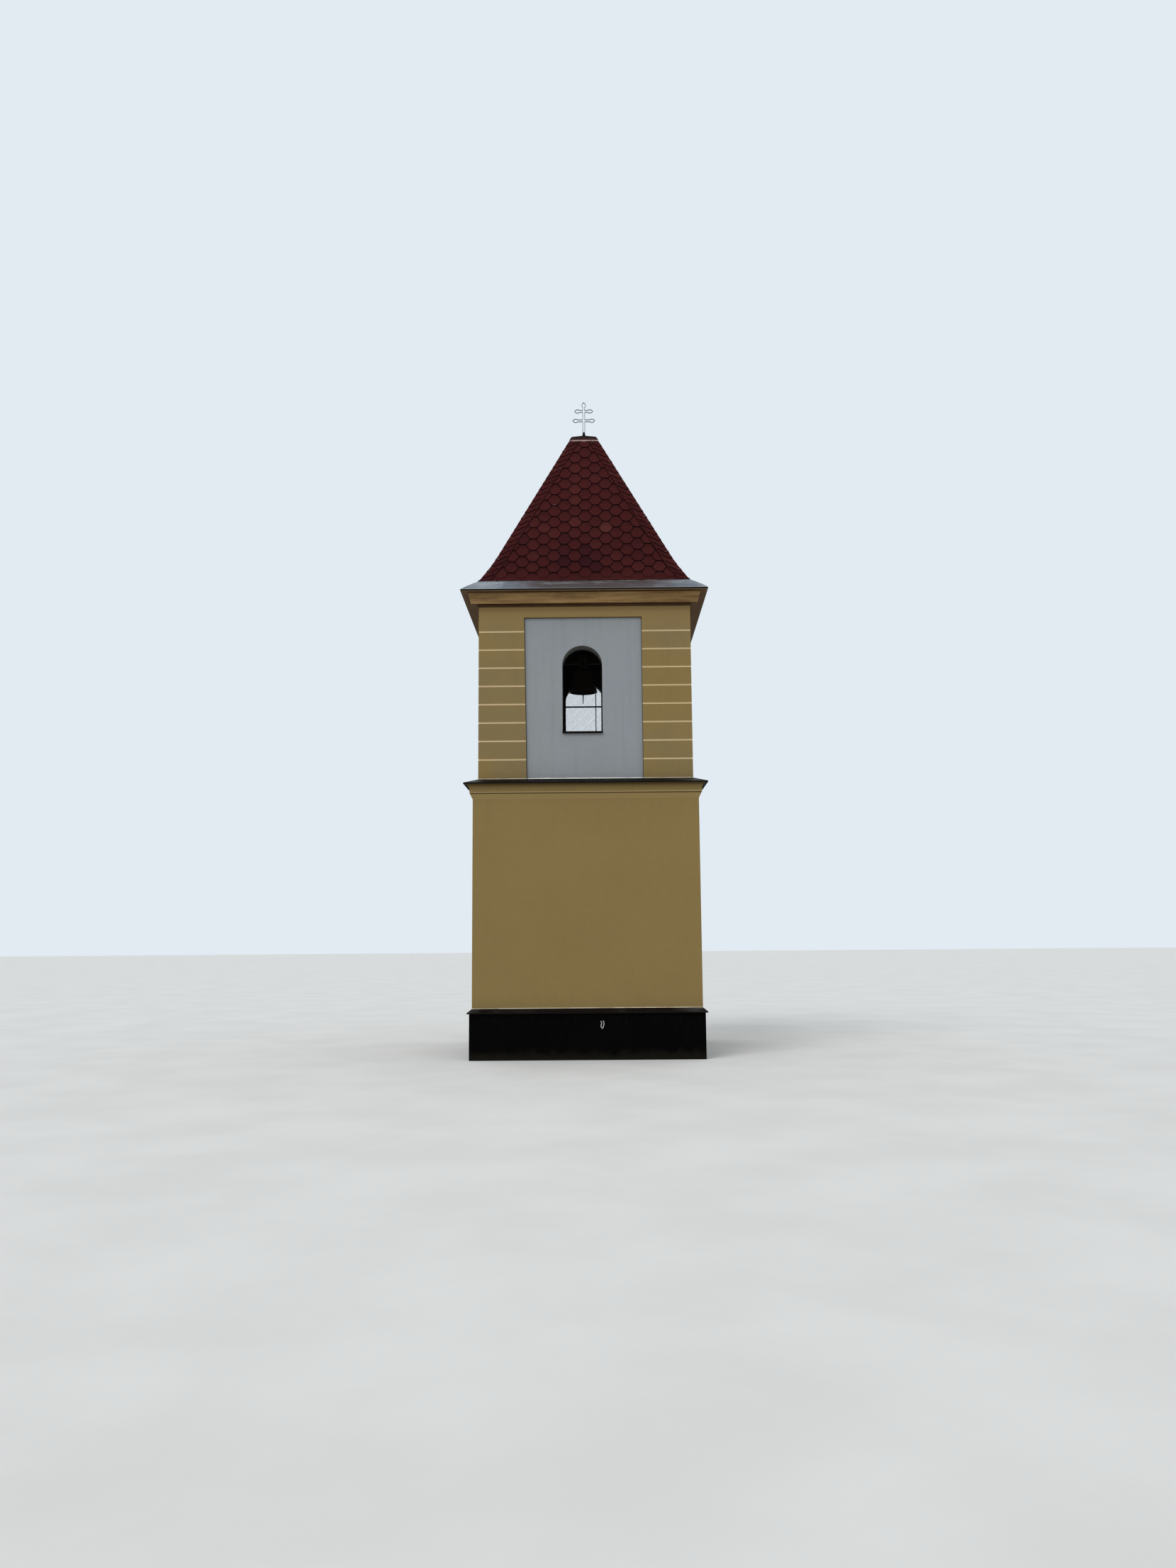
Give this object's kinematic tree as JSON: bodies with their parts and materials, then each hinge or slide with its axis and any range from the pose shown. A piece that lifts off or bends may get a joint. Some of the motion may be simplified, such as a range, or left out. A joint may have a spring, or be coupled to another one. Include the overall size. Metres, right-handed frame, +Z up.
{
  "type": "bell tower",
  "caption": "Square village bell tower in two rendered storeys, with arched screened openings, a steep shingled roof, a double-barred cross and a swinging bell with its clapper.",
  "frame": {"origin": "centre of the base, on the ground", "axes": "+Z up; -Y is the front face that the picture shows; +X to the right of it"},
  "size_m": [3.814, 3.814, 11.015],
  "materials": {
    "ochre_render": "smooth painted lime render, matt",
    "grey_render": "smooth painted render, matt",
    "plinth_render": "near-black painted render, matt",
    "concrete": "float finish",
    "dark_sheet": "dark brown painted sheet, satin",
    "galvanised_sheet": "weathered galvanised sheet",
    "apex_sheet": "brown painted sheet, worn",
    "cornice_timber": "stained boards, streaky",
    "bitumen_shingle": "granular dark red bitumen shingle on boards",
    "timber": "rough sawn, weathered",
    "door_wood": "stained planks",
    "screen_steel": "dark painted steel",
    "iron": "dark, lightly rusted",
    "bell_bronze": "dark patinated bronze",
    "cross_steel": "pale blue-grey paint"
  },
  "bodies": {
    "tower": {"apex_cap": "apex_sheet", "bearing_blocks": "iron", "belfry_floor": "timber", "bell_beams": "timber", "collar_beams": "timber", "cornice_back": "cornice_timber", "cornice_front": "cornice_timber", "cornice_left": "cornice_timber", "cornice_right": "cornice_timber", "cross": "cross_steel", "cross_socket": "cross_steel", "door_frame": "door_wood", "door_leaf": "door_wood", "eave_flashing": "galvanised_sheet", "floor_joists": "timber", "ground_slab": "concrete", "hip_rafters": "timber", "king_post": "timber", "lower_wall_back": "ochre_render", "lower_wall_front": "ochre_render", "lower_wall_left": "ochre_render", "lower_wall_right": "ochre_render", "plinth_back": "plinth_render", "plinth_cap": "dark_sheet", "plinth_front": "plinth_render", "plinth_left": "plinth_render", "plinth_right": "plinth_render", "raised_render": "ochre_render", "roof_panel_back": "bitumen_shingle", "roof_panel_front": "bitumen_shingle", "roof_panel_left": "bitumen_shingle", "roof_panel_right": "bitumen_shingle", "string_course": "ochre_render", "string_course_cap": "dark_sheet", "upper_wall_back": "grey_render", "upper_wall_front": "grey_render", "upper_wall_left": "grey_render", "upper_wall_right": "grey_render", "wall_plate": "timber", "window_screens": "screen_steel", "window_sills": "dark_sheet"},
    "bell": {"bell": "bell_bronze", "yoke": "timber", "gudgeons": "iron", "yoke_straps": "iron", "clapper_hanger": "iron"},
    "clapper": {"clapper": "iron"}
  },
  "joints": [
    {"name": "bell_swing", "type": "hinge", "parent": "tower", "child": "bell", "pos_m": [-0.045, 0, 6.47], "axis": [1, 0, 0], "range_deg": [-60, 60]},
    {"name": "clapper_swing", "type": "hinge", "parent": "bell", "child": "clapper", "pos_m": [-0.045, 0, 6.20305], "axis": [1, 0, 0], "range_deg": [-30, 30]}
  ]
}
